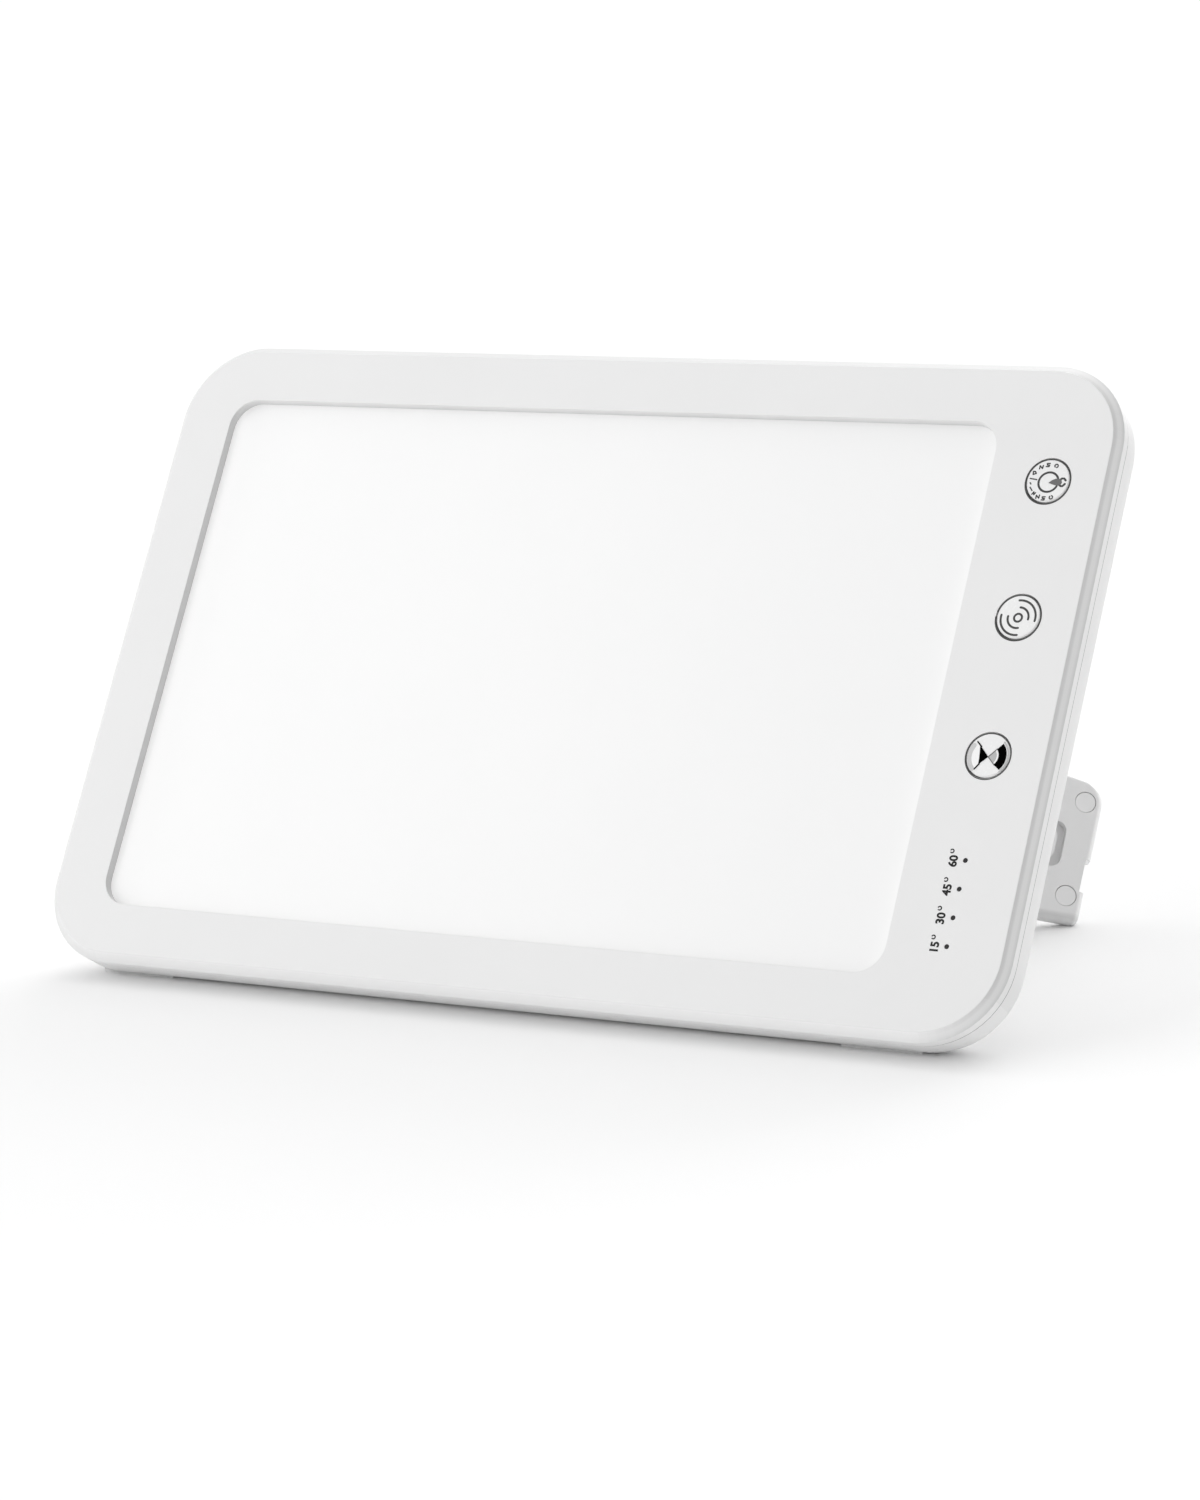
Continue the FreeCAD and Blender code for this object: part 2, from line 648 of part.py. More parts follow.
# ---------------------------------------------------------------- buttons and control board
def button_cap(z):
    cap = rod(BUTTON_R, -BUTTON_PROUD, FLANGE_BACK, BUTTON_X, z)
    cap = cap.makeChamfer(BUTTON_EDGE, edges_at(cap, -BUTTON_PROUD))
    flange = rod(FLANGE_R, FACE_PLATE, FLANGE_BACK, BUTTON_X, z)
    hollow = rod(BUTTON_R - BUTTON_SKIN, BUTTON_SKIN, FLANGE_BACK + OVER, BUTTON_X, z)
    stem = rod(STEM_R, BUTTON_SKIN, FLANGE_BACK, BUTTON_X, z)
    return cap.fuse(flange).cut(hollow).fuse(stem).removeSplitter()


def tact_switch(z):
    front = BOARD_FRONT - SWITCH_BODY_T
    body = slab(BUTTON_X, z, SWITCH_SIDE, SWITCH_SIDE, front, BOARD_FRONT)
    well_end = FLANGE_BACK + PLUNGER_LEN + BUTTON_TRAVEL + PLUNGER_END_GAP
    return body.cut(rod(PLUNGER_R + FIT_GAP, front - OVER, well_end, BUTTON_X, z))


def plunger(z):
    return rod(PLUNGER_R, FLANGE_BACK, FLANGE_BACK + PLUNGER_LEN, BUTTON_X, z)


def light_pipes():
    rail_z = (LIGHT_Z[0] + LIGHT_Z[-1]) / 2
    rail_l = LIGHT_Z[0] - LIGHT_Z[-1] + PIPE_RAIL_W
    rail = slab(BUTTON_X, rail_z, PIPE_RAIL_W, rail_l, FACE_PLATE, FACE_PLATE + PIPE_RAIL_T)
    pipes = []
    for z in LIGHT_Z:
        pipes.append(rod(PIPE_R, 0.0, PIPE_TIP_LEN, BUTTON_X, z))
        pipes.append(rod(PIPE_SHAFT_R, PIPE_TIP_LEN, BOARD_FRONT - CHIP_LED_T, BUTTON_X, z))
    return rail.fuse(pipes).removeSplitter()


def indicator_leds():
    return [slab(BUTTON_X, z, CHIP_LED_W, CHIP_LED_L, BOARD_FRONT - CHIP_LED_T, BOARD_FRONT)
            for z in LIGHT_Z]


def control_board():
    height = WINDOW_H - BOARD_TOP_DROP - BOARD_BOTTOM_RISE
    body = plate(BOARD_W, height, BOARD_CORNER, BOARD_FRONT, BOARD_BACK,
                 BUTTON_X, HALF_H - BOARD_TOP_DROP - height / 2)
    return body.cut([rod(SMALL_SCREW_R + SCREW_CLEAR, BOARD_FRONT - OVER, BOARD_BACK + OVER, x, z)
                     for x, z in board_screw_places()])


def control_chips():
    """Controller and its two transistors, on the front of the control board."""
    middle = (BUTTON_Z[1] + BUTTON_Z[2]) / 2
    above = middle + IC_SIDE / 2 + TRANSISTOR_GAP + TRANSISTOR_L / 2
    front = BOARD_FRONT - IC_T
    chips = [slab(BUTTON_X, middle, IC_SIDE, IC_SIDE, front, BOARD_FRONT)]
    chips += [slab(BUTTON_X + side * TRANSISTOR_X, above, TRANSISTOR_W, TRANSISTOR_L, front, BOARD_FRONT)
              for side in SIDES]
    return chips


def control_plugs():
    """Wire plugs on the back of the control board, above and below the leg's well."""
    return [slab(BUTTON_X, z, PLUG_L, PLUG_W, BOARD_BACK, BOARD_BACK + PLUG_H)
            for z in (BUTTON_Z[0] - PLUG_TOP_DROP, LIGHT_Z[1] + PLUG_LOW_RISE)]


# ---------------------------------------------------------------- driver board and inlet
def driver_board():
    body = plate(DRIVER_W, DRIVER_H, BOARD_CORNER, DRIVER_FRONT, DRIVER_BACK, DRIVER_X, DRIVER_Z)
    return body.cut([rod(SMALL_SCREW_R + SCREW_CLEAR, DRIVER_FRONT - OVER, DRIVER_BACK + OVER, x, z)
                     for x, z in driver_screw_places()])


def driver_coil():
    """Shielded coil: a square body with a round slot round its core."""
    x = DRIVER_X + COIL_X
    back = DRIVER_BACK + COIL_H
    slot_front = back - COIL_SLOT_DEPTH
    slot_r = COIL_SIDE / 2 - COIL_RIM
    body = plate(COIL_SIDE, COIL_SIDE, COIL_CORNER, DRIVER_BACK, back, x, DRIVER_Z)
    core = rod(slot_r - COIL_SLOT, slot_front, back, x, DRIVER_Z)
    return body.cut(rod(slot_r, slot_front, back + OVER, x, DRIVER_Z)).fuse(core)


def driver_cans():
    """Two capacitors that lie on the board."""
    return [Part.makeCylinder(CAN_R, CAN_L, Vector(DRIVER_X + CAN_X, DRIVER_BACK + CAN_R,
                                                   DRIVER_Z + side * CAN_PITCH / 2), Vector(1, 0, 0))
            for side in SIDES]


def driver_chips():
    return [slab(DRIVER_X + x, DRIVER_Z, CHIP_SIDE, CHIP_SIDE, DRIVER_BACK, DRIVER_BACK + CHIP_T)
            for x in CHIP_X]


def inlet_socket():
    body = rod(INLET_R, INLET_FRONT, INLET_BACK, INLET_X, INLET_Z)
    body = body.fuse(rod(INLET_FLANGE_R, REAR_INNER - INLET_FLANGE_T, REAR_INNER, INLET_X, INLET_Z))
    return body.cut(rod(INLET_BORE_R, INLET_BACK - INLET_BORE_DEPTH, BODY_DEPTH + OVER, INLET_X, INLET_Z))


def inlet_pin():
    end = INLET_BACK - INLET_PIN_SINK
    pin = rod(INLET_PIN_R, INLET_BACK - INLET_BORE_DEPTH, end, INLET_X, INLET_Z)
    return pin.makeFillet(INLET_PIN_ROUND, edges_at(pin, end))


def inlet_wires():
    """Pair from the inlet, up the right-hand side, then across to the driver board."""
    pair = []
    for i in range(2):
        tag = Vector(INLET_X + (2 * i - 1) * WIRE_TAG_HALF, INLET_FRONT, INLET_Z + WIRE_TAG_RISE)
        side_x = BUTTON_X + BOARD_W / 2 + WIRE_SIDE_GAP + i * WIRE_PITCH
        low_z = INLET_Z + WIRE_LOW_RISE - i * WIRE_PITCH
        high_z = DRIVER_Z - WIRE_HIGH_DROP + i * WIRE_PITCH
        dip_y = INLET_FRONT - WIRE_DIP
        over_y = DRIVER_BACK + WIRE_R + WIRE_LIFT
        end_x = DRIVER_X + DRIVER_W / 2 - WIRE_END_INSET
        pair.append(wire([
            tag,
            Vector(tag.x, dip_y, tag.z),
            Vector(tag.x, dip_y, low_z),
            Vector(side_x, dip_y, low_z),
            Vector(side_x, WIRE_SIDE_Y, low_z + WIRE_BEND),
            Vector(side_x, WIRE_SIDE_Y, high_z - WIRE_BEND),
            Vector(side_x - WIRE_LEAN, over_y, high_z),
            Vector(end_x, over_y, high_z),
            Vector(end_x, DRIVER_BACK, high_z),
        ], WIRE_R))
    return pair


# ---------------------------------------------------------------- leg
def spine_shape(gap, end_gap, front, back):
    """Outline of the strip in the leg, or of the wider pocket it lies in."""
    x0 = HINGE_X + SPINE_START - gap
    x1 = TIP_X - SPINE_INSET + end_gap
    return plate(x1 - x0, SPINE_W + 2 * gap, SPINE_CORNER, front, back, (x0 + x1) / 2, 0)


def desk_cutter():
    """Slab that gives the tip's lower corner a flat where it meets the desk."""
    normal = OPEN.inverted().multVec(DESK_DOWN)
    tip = Vector(LEG_LEN, 0, 0)
    centre = PIVOT + normal * (DESK_DROP - PIVOT.dot(DESK_DOWN)) + tip - normal * tip.dot(normal)
    return Part.makeCylinder(LEG_LEN / 3, LEG_T, centre, normal)


def stand_leg():
    heel = block(HINGE_X - HEEL_BACK, HINGE_X, HINGE_Y - HEEL_DROP, HINGE_Y, -HEEL_HALF, HEEL_HALF)
    heel.rotate(PIVOT, UPRIGHT, -OPEN_ANGLE)
    body = leg_body().fuse([shaft(LEG_T / 2, BARREL_HALF), heel])
    cuts = [shaft(PIN_R + PIN_GAP, BARREL_HALF + OVER), desk_cutter()]
    cuts.append(block(TIP_X - NOTCH_DEPTH, TIP_X + OVER, LEG_FRONT - OVER, BODY_DEPTH + OVER,
                      NOTCH_TOP_Z - NOTCH_LEN, NOTCH_TOP_Z))
    cuts.append(spine_shape(SPINE_GAP, SPINE_END_GAP, LEG_FRONT - OVER, SPINE_BACK))
    cuts += [rod(MAGNET_R + MAGNET_GAP, LEG_FRONT - OVER, LEG_FRONT + MAGNET_SINK + MAGNET_T, MAGNET_X,
                 side * MAGNET_HALF_SPAN) for side in SIDES]
    cuts += [rod(SMALL_SCREW_R + SCREW_GAP, LEG_FRONT, SPINE_BACK + SPINE_SCREW_BITE + HOLE_END, x, 0)
             for x in spine_screw_x()]
    return body.cut(cuts).removeSplitter()


def leg_spine():
    """Strip that stiffens the leg, with sunk seats for its screws."""
    front = SPINE_BACK - SPINE_T
    holes = [rod(SMALL_SCREW_R + SCREW_CLEAR, front - OVER, SPINE_BACK + OVER, x, 0)
             for x in spine_screw_x()]
    holes += [rod(SMALL_HEAD_R + SCREW_CLEAR, front - OVER, SPINE_SEAT, x, 0) for x in spine_screw_x()]
    return spine_shape(0.0, 0.0, front, SPINE_BACK).cut(holes)


def spine_screws():
    return [screw(x, 0, SPINE_SEAT, SPINE_HEAD_T, SPINE_BACK + SPINE_SCREW_BITE,
                  SMALL_HEAD_R, SMALL_SCREW_R) for x in spine_screw_x()]


def magnets(front):
    return [rod(MAGNET_R, front, front + MAGNET_T, MAGNET_X, side * MAGNET_HALF_SPAN)
            for side in SIDES]


def hinge_washers():
    """Friction washers between the leg's barrel and the casing's lugs."""
    room = shaft(WASHER_R, BARREL_HALF + RECESS_GAP)
    filled = room.cut([shaft(WASHER_R + OVER, BARREL_HALF), shaft(PIN_R + PIN_GAP, BARREL_HALF + OVER)])
    return filled.Solids


# ---------------------------------------------------------------- all pieces
parts["front_bezel"] = [front_bezel()]
parts["rear_shell"] = [rear_shell()]
parts["diffuser_panel"] = [window_plate(DIFFUSER_LAP, FACE_PLATE, DIFFUSER_BACK)]
parts["diffusion_film"] = [window_plate(FILM_LAP, DIFFUSER_BACK, FILM_BACK)]
parts["light_guide"] = [slab(0, 0, GUIDE_W, GUIDE_H, FILM_BACK, GUIDE_BACK)]
parts["reflector_sheet"] = [slab(0, 0, GUIDE_W, GUIDE_H, GUIDE_BACK, REFLECTOR_BACK)]
parts["light_frame"] = [light_frame()]
parts["backing_plate"] = [backing_plate()]
parts["led_strips"] = led_strips()
parts["led_chips"] = led_chips()
parts["frame_screws"] = [screw(x, z, BACKING_BACK, SMALL_HEAD_T, FACE_PLATE - FRAME_SCREW_BITE,
                               SMALL_HEAD_R, SMALL_SCREW_R) for x, z in frame_screw_places()]
parts["control_board"] = [control_board()]
parts["control_chips"] = control_chips()
parts["control_plugs"] = control_plugs()
parts["tact_switches"] = [tact_switch(z) for z in BUTTON_Z]
for name, z in zip(BUTTON_NAMES, BUTTON_Z):
    parts["button_" + name] = [button_cap(z)]
    parts["plunger_" + name] = [plunger(z)]
parts["light_pipes"] = [light_pipes()]
parts["indicator_leds"] = indicator_leds()
parts["board_screws"] = [screw(x, z, BOARD_BACK, SMALL_HEAD_T, BOARD_SCREW_TIP,
                               SMALL_HEAD_R, SMALL_SCREW_R) for x, z in board_screw_places()]
parts["driver_board"] = [driver_board()]
parts["driver_coil"] = [driver_coil()]
parts["driver_cans"] = driver_cans()
parts["driver_chips"] = driver_chips()
parts["driver_screws"] = [screw(x, z, DRIVER_FRONT, SMALL_HEAD_T, REAR_INNER - HOLE_END,
                                SMALL_HEAD_R, SMALL_SCREW_R) for x, z in driver_screw_places()]
parts["inlet_socket"] = [inlet_socket()]
parts["inlet_pin"] = [inlet_pin()]
parts["inlet_wires"] = inlet_wires()
parts["case_screws"] = [screw(x, z, CASE_SEAT, CASE_HEAD_T, CASE_SCREW_TIP, CASE_HEAD_R, CASE_SCREW_R)
                        for x, z in case_screw_places()]
parts["screw_plugs"] = [rod(CASE_HEAD_R, CASE_HEAD_BACK, CASE_HEAD_BACK + CASE_PLUG_T, x, z)
                        for x, z in case_screw_places()]
parts["rubber_feet"] = feet(0.0, FOOT_DEPTH)
parts["shell_magnets"] = magnets(RECESS_FLOOR + MAGNET_PROUD - MAGNET_T)
parts["hinge_pin"] = [shaft(PIN_R, PIN_HALF)]
parts["hinge_washers"] = hinge_washers()

leg_parts = {"stand_leg": [stand_leg()], "leg_spine": [leg_spine()], "spine_screws": spine_screws(),
             "leg_magnets": magnets(LEG_FRONT + MAGNET_SINK)}
for name, solids in leg_parts.items():
    for solid in solids:
        solid.rotate(PIVOT, UPRIGHT, OPEN_ANGLE)
    parts[name] = solids


# ---------------------------------------------------------------- lean back and write
def place():
    """Placement that leans the lamp back and sets it on the floor, centred."""
    lean = Placement(Vector(0, 0, 0), Rotation(Vector(1, 0, 0), -REST_TILT))
    spans = []
    for name in ("front_bezel", "rear_shell", "stand_leg"):
        solid = parts[name][0].copy()
        solid.Placement = lean.multiply(solid.Placement)
        spans += solid.tessellate(MESH_STEP)[0]
    middle_x = (min(p.x for p in spans) + max(p.x for p in spans)) / 2
    middle_y = (min(p.y for p in spans) + max(p.y for p in spans)) / 2
    shift = Vector(-middle_x, -middle_y, DESK_DROP)
    return Placement(shift, Rotation()).multiply(lean)


STANDING = place()
for name, solids in parts.items():
    for solid in solids:
        solid.Placement = STANDING.multiply(solid.Placement)
    shape = solids[0] if len(solids) == 1 else Part.makeCompound(solids)
    shape.exportStep("parts/" + name + ".step")
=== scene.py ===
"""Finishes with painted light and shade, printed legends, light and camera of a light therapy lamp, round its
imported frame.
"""

import json
import math

import bmesh
import bpy
from mathutils import Matrix, Vector


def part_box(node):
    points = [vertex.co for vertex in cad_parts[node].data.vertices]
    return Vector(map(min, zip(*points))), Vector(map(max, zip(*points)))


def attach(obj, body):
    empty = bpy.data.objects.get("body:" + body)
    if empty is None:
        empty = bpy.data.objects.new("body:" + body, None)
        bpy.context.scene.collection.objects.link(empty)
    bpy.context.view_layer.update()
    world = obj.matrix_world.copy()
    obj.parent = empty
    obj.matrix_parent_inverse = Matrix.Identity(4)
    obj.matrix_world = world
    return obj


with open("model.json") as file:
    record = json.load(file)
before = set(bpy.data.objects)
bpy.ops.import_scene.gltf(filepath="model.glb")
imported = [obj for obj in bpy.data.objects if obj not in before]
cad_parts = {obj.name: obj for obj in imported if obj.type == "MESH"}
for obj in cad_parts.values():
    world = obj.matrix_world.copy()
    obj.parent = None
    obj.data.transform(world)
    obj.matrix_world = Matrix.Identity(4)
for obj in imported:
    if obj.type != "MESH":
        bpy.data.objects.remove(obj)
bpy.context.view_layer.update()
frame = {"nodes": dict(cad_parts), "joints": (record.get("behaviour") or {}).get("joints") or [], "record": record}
NODES = frame["nodes"]
JOINTS = {j["name"]: j for j in frame["joints"]}
MM = 0.001

# ------------------------------------------------------------------ the casing's own directions
UP = Vector(JOINTS["leg_hinge"]["axis"]).normalized()
BACK = Vector(JOINTS["power_press"]["axis"]).normalized()
ACROSS = BACK.cross(UP)
DIFFUSER_MIDDLE_MM = 3.4  # from the front face back to the middle of the diffuser


def middle(node):
    """Middle of a node's box."""
    low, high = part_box(node)
    return (low + high) / 2


WINDOW = middle("diffuser_panel") - BACK * DIFFUSER_MIDDLE_MM * MM


def on_panel(x, z, y=0.0):
    """Point given in millimetres across, up and behind the middle of the window's front face."""
    return WINDOW + (ACROSS * x + UP * z + BACK * y) * MM


def panel_matrix(x, z, y):
    """Frame on the front face: local X across, local Y up the casing, local Z out of the face."""
    turn = Matrix((ACROSS, UP, -BACK)).transposed()
    return Matrix.Translation(on_panel(x, z, y)) @ turn.to_4x4()


# ------------------------------------------------------------------ materials
def srgb(grey):
    """Linear colour of an 8-bit grey."""
    c = grey / 255
    linear = c / 12.92 if c <= 0.04045 else ((c + 0.055) / 1.055) ** 2.4
    return (linear, linear, linear, 1.0)


def node_tree(name):
    """New material with only a Principled shader in it."""
    material = bpy.data.materials.new(name)
    material.use_nodes = True
    tree = material.node_tree
    return material, tree, tree.nodes["Principled BSDF"]


def noise(tree, scale, detail, stretch=(1, 1, 1)):
    """Noise in the object's own millimetres."""
    place = tree.nodes.new("ShaderNodeTexCoord")
    size = tree.nodes.new("ShaderNodeMapping")
    size.inputs["Scale"].default_value = [s / MM for s in stretch]
    texture = tree.nodes.new("ShaderNodeTexNoise")
    texture.inputs["Scale"].default_value = scale
    texture.inputs["Detail"].default_value = detail
    tree.links.new(place.outputs["Object"], size.inputs["Vector"])
    tree.links.new(size.outputs["Vector"], texture.inputs["Vector"])
    return texture.outputs["Fac"]


NOISE_MIDDLE = (0.3, 0.7)
GLOSS_SPREAD = 0.06
CLOUD_SCALE = 0.035
CLOUD_DETAIL = 3.0
GRAIN_DETAIL = 2.0
HAZE_SCALE = 0.4
HAZE_ROUGHNESS = (0.06, 0.14)


def spread(tree, value, low, high):
    """Maps the middle of a noise to a range."""
    node = tree.nodes.new("ShaderNodeMapRange")
    node.inputs["From Min"].default_value = NOISE_MIDDLE[0]
    node.inputs["From Max"].default_value = NOISE_MIDDLE[1]
    node.inputs["To Min"].default_value = low
    node.inputs["To Max"].default_value = high
    tree.links.new(value, node.inputs["Value"])
    return node.outputs["Result"]


def moulded(name, colour, roughness=0.45, grain_mm=0.35, grain_depth_mm=0.004, coat=0.0,
            metallic=0.0, stretch=(1, 1, 1), variation=0.02, edge_mm=0.0, shine=0.5):
    """Moulded or sheet surface: fine grain, a little unevenness of colour and of gloss."""
    material, tree, shader = node_tree(name)
    shader.inputs["Metallic"].default_value = metallic
    shader.inputs["Coat Weight"].default_value = coat
    shader.inputs["Specular IOR Level"].default_value = shine
    cloud = noise(tree, CLOUD_SCALE, CLOUD_DETAIL)
    mix = tree.nodes.new("ShaderNodeMix")
    mix.data_type = "RGBA"
    darker = tuple(c * (1 - variation) for c in colour[:3])
    mix.inputs["A"].default_value = darker + (1,)
    brighter = tuple(min(1, c * (1 + variation)) for c in colour[:3])
    mix.inputs["B"].default_value = brighter + (1,)
    tree.links.new(spread(tree, cloud, 0.0, 1.0), mix.inputs["Factor"])
    tree.links.new(mix.outputs["Result"], shader.inputs["Base Color"])
    grain = noise(tree, 1 / grain_mm, GRAIN_DETAIL, stretch)
    gloss = spread(tree, grain, roughness - GLOSS_SPREAD, roughness + GLOSS_SPREAD)
    tree.links.new(gloss, shader.inputs["Roughness"])
    bump = tree.nodes.new("ShaderNodeBump")
    bump.inputs["Strength"].default_value = 1.0
    bump.inputs["Distance"].default_value = grain_depth_mm * MM
    tree.links.new(grain, bump.inputs["Height"])
    if edge_mm:
        edge = tree.nodes.new("ShaderNodeBevel")
        edge.samples = 4
        edge.inputs["Radius"].default_value = edge_mm * MM
        tree.links.new(edge.outputs["Normal"], bump.inputs["Normal"])
    tree.links.new(bump.outputs["Normal"], shader.inputs["Normal"])
    return material


def calc(tree, operation, a, b, clamp=False):
    """One sum on two values, each a socket or a number."""
    node = tree.nodes.new("ShaderNodeMath")
    node.operation = operation
    node.use_clamp = clamp
    for socket, value in zip(node.inputs, (a, b)):
        if isinstance(value, (int, float)):
            socket.default_value = value
        else:
            tree.links.new(value, socket)
    return node.outputs["Value"]


def along(tree, place, axis, start_mm=None):
    """Millimetres (or the plain component) of a vector along a fixed axis."""
    dot = tree.nodes.new("ShaderNodeVectorMath")
    dot.operation = "DOT_PRODUCT"
    dot.inputs[1].default_value = tuple(axis if start_mm is None else axis / MM)
    tree.links.new(place, dot.inputs[0])
    if start_mm is None:
        return dot.outputs["Value"]
    return calc(tree, "SUBTRACT", dot.outputs["Value"], start_mm)


def ramp(tree, value, stops, low, high):
    """Curve through (position, height) stops, straight between them."""
    fit = tree.nodes.new("ShaderNodeMapRange")
    fit.inputs["From Min"].default_value = low
    fit.inputs["From Max"].default_value = high
    tree.links.new(value, fit.inputs["Value"])
    curve = tree.nodes.new("ShaderNodeValToRGB")
    elements = curve.color_ramp.elements
    for i, (at, height) in enumerate(stops):
        spot = elements[i] if i < 2 else elements.new((at - low) / (high - low))
        spot.position = (at - low) / (high - low)
        spot.color = (height, height, height, 1)
    tree.links.new(fit.outputs["Result"], curve.inputs["Fac"])
    return curve.outputs["Color"]


def toward(tree, facing, axis, gain):
    """How far a surface faces along an axis, from 0 to 1; a negative gain looks the other way."""
    return calc(tree, "MULTIPLY", along(tree, facing, axis), gain, clamp=True)


def tone_base(material, layers):
    """Lays tones over the base colour. A layer is (blend, share or None for all, tone)."""
    tree = material.node_tree
    shader = tree.nodes["Principled BSDF"]
    colour = shader.inputs["Base Color"].links[0].from_socket
    for blend, share, tone in layers:
        layer = tree.nodes.new("ShaderNodeMix")
        layer.data_type = "RGBA"
        layer.blend_type = blend
        if share is None:
            layer.inputs["Factor"].default_value = 1.0
        else:
            tree.links.new(share, layer.inputs["Factor"])
        tree.links.new(colour, layer.inputs["A"])
        tree.links.new(tone, layer.inputs["B"])
        colour = layer.outputs["Result"]
    tree.links.new(colour, shader.inputs["Base Color"])


def casing_white(name, right_rim_shade_stops, rear_shade_stops):
    """White shell with painted shade on its rims, seam and window walls, on its rear and towards the right of its
    face, and painted light on its lower rim.
    """
    material = moulded(name, srgb(243), roughness=0.42, edge_mm=0.18, variation=0.007)
    tree = material.node_tree
    place = tree.nodes.new("ShaderNodeTexCoord").outputs["Object"]
    facing = tree.nodes.new("ShaderNodeNewGeometry").outputs["True Normal"]
    depth = along(tree, place, BACK, WINDOW.dot(BACK) / MM)
    across = along(tree, place, ACROSS, WINDOW.dot(ACROSS) / MM)
    height = along(tree, place, UP, WINDOW.dot(UP) / MM)

    def share(axis, gain, test, value, limit, power=1.0):
        """Share of the surface that faces along an axis, on one side of a limit."""
        faces = calc(tree, "POWER", toward(tree, facing, axis, gain), power)
        return calc(tree, "MULTIPLY", faces, calc(tree, test, value, limit))

    def near_face(stops):
        """Painted light or shade over the first few millimetres behind the face."""
        return ramp(tree, depth, stops, *NEAR_FACE_MM)

    front = calc(tree, "LESS_THAN", along(tree, facing, BACK), FRONT_FACING)
    # painted shade on the rims, seam, rear, face and window walls, and painted light on the lower rim
    tone_base(material, [
        ("MULTIPLY", share(ACROSS, RIM_GAIN, "GREATER_THAN", across, 0.0),
         near_face(right_rim_shade_stops)),
        ("MULTIPLY", toward(tree, facing, UP, RIM_GAIN), near_face(UPPER_RIM_SHADE_STOPS)),
        ("MULTIPLY", share(ACROSS, -RIM_GAIN, "LESS_THAN", across, 0.0),
         near_face(UPPER_RIM_SHADE_STOPS)),
        ("ADD", share(UP, -RIM_GAIN, "LESS_THAN", height, LOWER_RIM_MM),
         near_face(LOWER_RIM_LIGHT_STOPS)),
        ("MULTIPLY", None, near_face(SEAM_SHADE_STOPS)),
        ("MULTIPLY", None, ramp(tree, depth, rear_shade_stops, *WHOLE_DEPTH_MM)),
        ("MULTIPLY", front, ramp(tree, across, FACE_SHADE_STOPS, *WHOLE_WIDTH_MM)),
        ("MULTIPLY", share(ACROSS, 1.0, "LESS_THAN", across, LEFT_WALL_MM, WALL_POWER),
         near_face(LEFT_WALL_SHADE_STOPS)),
        ("MULTIPLY", share(UP, -1.0, "GREATER_THAN", height, TOP_WALL_MM, WALL_POWER),
         near_face(TOP_WALL_SHADE_STOPS)),
    ])
    return material


def leg_white(name):
    """White leg with a painted highlight along its rim and painted shade where its lower edge rolls under."""
    material = moulded(name, srgb(234), roughness=0.42, edge_mm=0.18, variation=0.007,
                       coat=0.5)
    tree = material.node_tree
    place = tree.nodes.new("ShaderNodeTexCoord")
    facing = place.outputs["Normal"]
    tipward = ACROSS * math.cos(LEG_ANGLE) + BACK * math.sin(LEG_ANGLE)
    foot = min(v.co.dot(UP) for v in NODES["stand_leg"].data.vertices)
    rise = along(tree, place.outputs["Object"], UP, foot / MM)
    tone_base(material, [
        ("ADD", None, ramp(tree, along(tree, facing, tipward), LEG_RIM_HIGHLIGHT_STOPS, 0.0, 1.0)),
        ("MULTIPLY", calc(tree, "LESS_THAN", rise, LEG_ROLL_MM),
         ramp(tree, along(tree, facing, -UP), LEG_LOW_SHADE_STOPS, 0.0, 1.0)),
    ])
    return material


def opal(name):
    """Opal acrylic lit from behind: a soft satin white that glows a little, with painted light near its left edge
    and less glow towards its right.
    """
    material = moulded(name, srgb(240), roughness=0.38, grain_mm=0.25, grain_depth_mm=0.002,
                       variation=0.004)
    shader = material.node_tree.nodes["Principled BSDF"]
    shader.inputs["Emission Color"].default_value = (1.0, 1.0, 1.0, 1.0)
    tree = material.node_tree
    place = tree.nodes.new("ShaderNodeTexCoord").outputs["Object"]
    across = along(tree, place, ACROSS, WINDOW.dot(ACROSS) / MM)
    # glow of the lit panel, with painted light along its left edge
    glow = ramp(tree, across, PANEL_GLOW_AND_EDGE_LIGHT_STOPS, *WINDOW_WIDTH_MM)
    tree.links.new(glow, shader.inputs["Emission Strength"])
    return material


def clear(name):
    """Clear acrylic."""
    material, tree, shader = node_tree(name)
    shader.inputs["Base Color"].default_value = (0.95, 0.97, 0.98, 1)
    shader.inputs["Transmission Weight"].default_value = 0.9
    shader.inputs["IOR"].default_value = 1.49
    haze = spread(tree, noise(tree, HAZE_SCALE, GRAIN_DETAIL), *HAZE_ROUGHNESS)
    tree.links.new(haze, shader.inputs["Roughness"])
    return material


# where the casing's painted light and shade lie, in millimetres behind, across and up from the window's middle
NEAR_FACE_MM = (-0.5, 6.0)
WHOLE_DEPTH_MM = (-0.5, 20.0)
WHOLE_WIDTH_MM = (-130.0, 140.0)
WINDOW_WIDTH_MM = (-110.0, 110.0)
LOWER_RIM_MM = -70.0
LEFT_WALL_MM = -95.0
TOP_WALL_MM = 50.0
RIM_GAIN = 1.3
WALL_POWER = 2.0
FRONT_FACING = -0.9

# painted shade, painted light or glow at a place: first against the depth behind the face
# painted shade: a dark line along the seam between the shells
SEAM_SHADE_STOPS = ((2.0, 1.0), (4.22, 1.0), (4.28, 0.38), (4.72, 0.38), (4.78, 1.0))
# painted shade along the right rim, darker near its edges
RIGHT_RIM_SHADE_STOPS = ((0.0, 1.0), (0.1, 0.71), (0.5, 0.74), (0.9, 0.88), (1.4, 0.88), (1.65, 0.81),
                (1.95, 0.74), (2.1, 1.0))
PLAIN_STOPS = ((0.0, 1.0), (6.0, 1.0))
